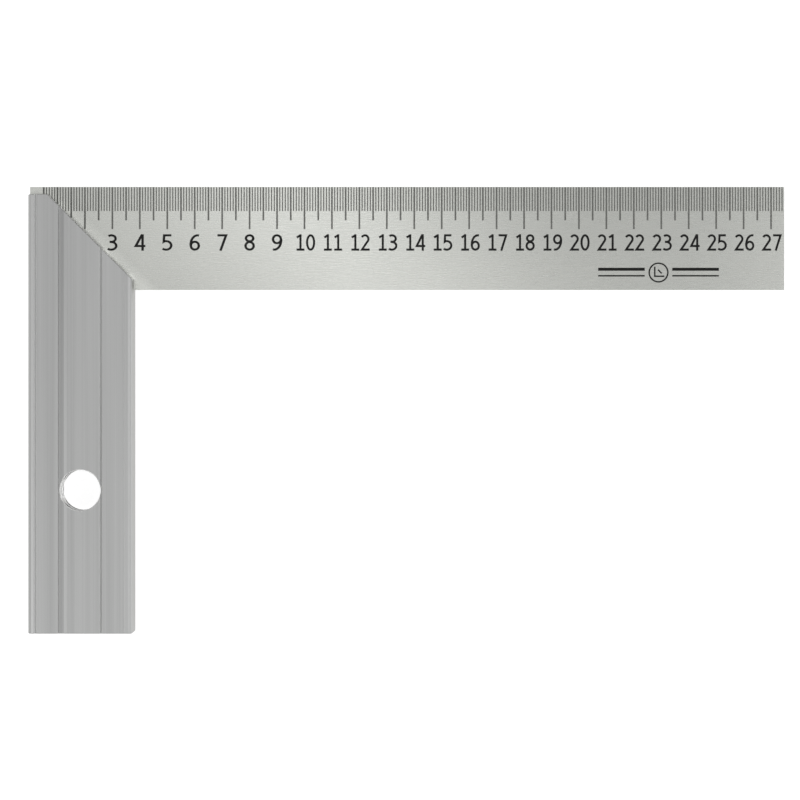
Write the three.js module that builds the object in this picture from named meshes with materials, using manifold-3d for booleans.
// A try square lying on its back: a steel blade with a centimetre scale stands out of a hollow
// extruded aluminium stock at a right angle, and a 45 degree mitre ends the stock beside the blade.
//
// Millimetres. +X runs along the blade to its free end, +Y from the stock's foot to the blade's outer
// edge, +Z up out of the front face. The origin is the middle of the outline, on the back face.

import * as THREE from 'three';
import { mergeVertices } from 'three/addons/utils/BufferGeometryUtils.js';
import Module from 'manifold-3d';

// Driving dimensions
const BLADE_LENGTH = 274.8;
const BLADE_WIDTH = 37.6;
const BLADE_THICKNESS = 1.2;
const STOCK_LENGTH = 159.2;
const STOCK_WIDTH = 37.8;
const STOCK_THICKNESS = 16;
const BLADE_RISE = 3.1; // the blade's outer edge stands this far past the stock's end
const MITRE_START = 7.0; // along the stock's end, from the outer face to the 45 degree cut
const HOLE_DIAMETER = 14.8;
const HOLE_DROP = 110.4; // from the blade's outer edge to the centre of the hanging hole

// Extruded section of the stock
const SIDE_WALL = 2.2;
const SKIN = 1.6;
const WEB = 1.4;
const MID_PLATE = 1.3;
const SLIT_HEIGHT = 1.6; // channel between the two middle plates, which the blade slides into
const CENTRE_CHAMBER = 15.4;
const CHAMBER_CORNER = 0.6;
const OUTER_EDGE_RADIUS = 1.9;
const INNER_EDGE_RADIUS = 1.3;

// Lengthwise grooves of the front and back faces, measured from the outer face: where each starts
// and ends, its depth, and how far its two walls slope
const GROOVES = [
  { start: 2.4, end: 3.1, depth: 0.35, startSlope: 0.15, endSlope: 0.2 },
  { start: 10.9, end: 14.2, depth: 0.5, startSlope: 0.2, endSlope: 1.8 },
  { start: 26.0, end: 26.9, depth: 0.5, startSlope: 0.25, endSlope: 0.25 },
  { start: 34.7, end: 35.3, depth: 0.1, startSlope: 0.12, endSlope: 0.4 },
];

// Pins that hold the blade, driven in from the back and ending short of the front face
const PIN_DIAMETER = 3;
const PIN_BACK_INSET = 0.4;
const PIN_LENGTH = 11;
const PIN_CHAMFER = 0.4;
const PIN_SPOTS = [
  { fromOuterFace: 6.0, fromBladeEdge: 11.0 },
  { fromOuterFace: 6.0, fromBladeEdge: 31.5 },
  { fromOuterFace: 23.0, fromBladeEdge: 31.5 },
];

const FIT_GAP = 0.1; // between the blade or a pin and the metal around it
const CUT_MARGIN = 5; // how far a cutting body runs past what it cuts
const ARC_STEPS = 8;
const HOLE_STEPS = 72;
const PIN_STEPS = 32;

// Places that follow from the dimensions
const outlineHeight = BLADE_RISE + STOCK_LENGTH;
const outerX = -BLADE_LENGTH / 2;
const bladeTopY = outlineHeight / 2;
const bladeLowY = bladeTopY - BLADE_WIDTH;
const stockTopY = bladeTopY - BLADE_RISE;
const midZ = STOCK_THICKNESS / 2;
const stockMidX = outerX + STOCK_WIDTH / 2;

const wasm = await Module();
wasm.setup();

function toSolid(geometry) {
  const bare = geometry.clone();
  bare.deleteAttribute('normal');
  bare.deleteAttribute('uv');
  const merged = mergeVertices(bare, 1e-5);
  const mesh = new wasm.Mesh({
    numProp: 3,
    vertProperties: new Float32Array(merged.attributes.position.array),
    triVerts: new Uint32Array(merged.index.array),
  });
  return new wasm.Manifold(mesh);
}

function toGeometry(solid) {
  const mesh = solid.getMesh();
  const geometry = new THREE.BufferGeometry();
  geometry.setAttribute('position', new THREE.BufferAttribute(mesh.vertProperties, 3));
  geometry.setIndex(new THREE.BufferAttribute(mesh.triVerts, 1));
  geometry.computeVertexNormals();
  return geometry;
}

function roundedRectangle(x0, z0, x1, z1, radius) {
  const path = new THREE.Path();
  path.moveTo(x0 + radius, z0);
  path.lineTo(x1 - radius, z0);
  path.absarc(x1 - radius, z0 + radius, radius, -Math.PI / 2, 0);
  path.lineTo(x1, z1 - radius);
  path.absarc(x1 - radius, z1 - radius, radius, 0, Math.PI / 2);
  path.lineTo(x0 + radius, z1);
  path.absarc(x0 + radius, z1 - radius, radius, Math.PI / 2, Math.PI);
  path.lineTo(x0, z0 + radius);
  path.absarc(x0 + radius, z0 + radius, radius, Math.PI, 1.5 * Math.PI);
  return path;
}

// Front half of the section's outline, from the inner face round to the outer face. The section is
// drawn with x from the outer face and z from the back face.
function frontHalfOutline() {
  const path = new THREE.Path();
  const top = STOCK_THICKNESS;
  path.moveTo(STOCK_WIDTH, midZ);
  const inner = INNER_EDGE_RADIUS;
  path.lineTo(STOCK_WIDTH, top - inner);
  path.absarc(STOCK_WIDTH - inner, top - inner, inner, 0, Math.PI / 2);
  for (const groove of [...GROOVES].reverse()) {
    path.lineTo(groove.end, top);
    path.lineTo(groove.end - groove.endSlope, top - groove.depth);
    path.lineTo(groove.start + groove.startSlope, top - groove.depth);
    path.lineTo(groove.start, top);
  }
  const outer = OUTER_EDGE_RADIUS;
  path.lineTo(outer, top);
  path.absarc(outer, top - outer, outer, Math.PI / 2, Math.PI);
  path.lineTo(0, midZ);
  return path.getPoints(ARC_STEPS);
}

function stockSection() {
  const front = frontHalfOutline();
  const back = front
    .slice(1, -1)
    .reverse()
    .map((point) => new THREE.Vector2(point.x, STOCK_THICKNESS - point.y));
  const section = new THREE.Shape([...front, ...back]);

  const middle = STOCK_WIDTH / 2;
  const halfCentre = CENTRE_CHAMBER / 2;
  const plateTop = midZ + SLIT_HEIGHT / 2 + MID_PLATE;
  const skinUnderside = STOCK_THICKNESS - SKIN;
  const chambers = [
    [SIDE_WALL, middle - halfCentre - WEB],
    [middle - halfCentre, middle + halfCentre],
    [middle + halfCentre + WEB, STOCK_WIDTH - SIDE_WALL],
  ];
  for (const [x0, x1] of chambers) {
    section.holes.push(roundedRectangle(x0, plateTop, x1, skinUnderside, CHAMBER_CORNER));
    section.holes.push(roundedRectangle(x0, SKIN, x1, STOCK_THICKNESS - plateTop, CHAMBER_CORNER));
  }
  const slitCorner = SLIT_HEIGHT / 4;
  const slitTop = midZ + SLIT_HEIGHT / 2;
  section.holes.push(
    roundedRectangle(SIDE_WALL, slitTop - SLIT_HEIGHT, STOCK_WIDTH - SIDE_WALL, slitTop, slitCorner)
  );
  return section;
}

function uprightCylinder(radius, x, y, z0, z1, steps) {
  const geometry = new THREE.CylinderGeometry(radius, radius, z1 - z0, steps);
  geometry.rotateX(Math.PI / 2);
  geometry.translate(x, y, (z0 + z1) / 2);
  return geometry;
}

const pinX = (spot) => outerX + spot.fromOuterFace;
const pinY = (spot) => bladeTopY - spot.fromBladeEdge;

// Extrusion cut to length, mitred, sawn open for the blade, and drilled
function makeStock() {
  const bar = new THREE.ExtrudeGeometry(stockSection(), {
    depth: STOCK_LENGTH,
    bevelEnabled: false,
    curveSegments: ARC_STEPS,
  });
  bar.rotateX(Math.PI / 2);
  bar.translate(outerX, stockTopY, 0);

  const kerfHeight = BLADE_THICKNESS + 2 * FIT_GAP;
  const kerfLow = bladeLowY - FIT_GAP;
  const kerfTop = stockTopY + CUT_MARGIN;
  const kerf = new THREE.BoxGeometry(STOCK_WIDTH + 2 * CUT_MARGIN, kerfTop - kerfLow, kerfHeight);
  kerf.translate(stockMidX, (kerfTop + kerfLow) / 2, midZ);

  const mitreRun = STOCK_WIDTH - MITRE_START + CUT_MARGIN;
  const mitreX = outerX + MITRE_START;
  const wedge = new THREE.Shape();
  wedge.moveTo(mitreX - CUT_MARGIN, stockTopY + CUT_MARGIN);
  wedge.lineTo(mitreX + mitreRun, stockTopY - mitreRun);
  wedge.lineTo(mitreX + mitreRun, stockTopY + CUT_MARGIN);
  wedge.closePath();
  const mitre = new THREE.ExtrudeGeometry(wedge, {
    depth: STOCK_THICKNESS + 2 * CUT_MARGIN,
    bevelEnabled: false,
  });
  mitre.translate(0, 0, -CUT_MARGIN);

  const hangingHole = uprightCylinder(
    HOLE_DIAMETER / 2,
    stockMidX,
    bladeTopY - HOLE_DROP,
    -CUT_MARGIN,
    STOCK_THICKNESS + CUT_MARGIN,
    HOLE_STEPS
  );

  let stock = toSolid(bar);
  for (const cutter of [kerf, mitre, hangingHole]) {
    stock = stock.subtract(toSolid(cutter));
  }
  const drillRadius = PIN_DIAMETER / 2 + FIT_GAP;
  const drillTop = PIN_BACK_INSET + PIN_LENGTH + FIT_GAP;
  for (const spot of PIN_SPOTS) {
    const drill = uprightCylinder(drillRadius, pinX(spot), pinY(spot), -CUT_MARGIN, drillTop, PIN_STEPS);
    stock = stock.subtract(toSolid(drill));
  }
  return toGeometry(stock);
}

// Flat steel strip from the stock's outer face to its free end, drilled for the pins
function makeBlade() {
  const outline = new THREE.Shape();
  outline.moveTo(outerX, bladeLowY);
  outline.lineTo(outerX + BLADE_LENGTH, bladeLowY);
  outline.lineTo(outerX + BLADE_LENGTH, bladeTopY);
  outline.lineTo(outerX, bladeTopY);
  outline.closePath();
  for (const spot of PIN_SPOTS) {
    const hole = new THREE.Path();
    hole.absarc(pinX(spot), pinY(spot), PIN_DIAMETER / 2 + FIT_GAP, 0, 2 * Math.PI, true);
    outline.holes.push(hole);
  }
  const strip = new THREE.ExtrudeGeometry(outline, {
    depth: BLADE_THICKNESS,
    bevelEnabled: false,
    curveSegments: PIN_STEPS,
  });
  strip.translate(0, 0, midZ - BLADE_THICKNESS / 2);
  return strip;
}

function makePin() {
  const radius = PIN_DIAMETER / 2;
  const profile = [
    new THREE.Vector2(0, 0),
    new THREE.Vector2(radius - PIN_CHAMFER, 0),
    new THREE.Vector2(radius, PIN_CHAMFER),
    new THREE.Vector2(radius, PIN_LENGTH - PIN_CHAMFER),
    new THREE.Vector2(radius - PIN_CHAMFER, PIN_LENGTH),
    new THREE.Vector2(0, PIN_LENGTH),
  ];
  const pin = new THREE.LatheGeometry(profile, PIN_STEPS);
  pin.rotateX(Math.PI / 2);
  return pin;
}

const aluminium = { color: 0xa9a9a6, roughness: 0.42, metalness: 0.9 };
const bladeSteel = { color: 0xb9bbb4, roughness: 0.3, metalness: 1.0 };
const pinSteel = { color: 0x8e9092, roughness: 0.35, metalness: 1.0 };

function addPart(parent, name, geometry, look) {
  const mesh = new THREE.Mesh(geometry, new THREE.MeshStandardMaterial(look));
  mesh.name = name;
  parent.add(mesh);
  return mesh;
}

const trySquare = new THREE.Group();
addPart(trySquare, 'stock', makeStock(), aluminium);
addPart(trySquare, 'blade', makeBlade(), bladeSteel);
PIN_SPOTS.forEach((spot, index) => {
  const pin = addPart(trySquare, `blade_pin_${index + 1}`, makePin(), pinSteel);
  pin.position.set(pinX(spot), pinY(spot), PIN_BACK_INSET);
});

export default trySquare;
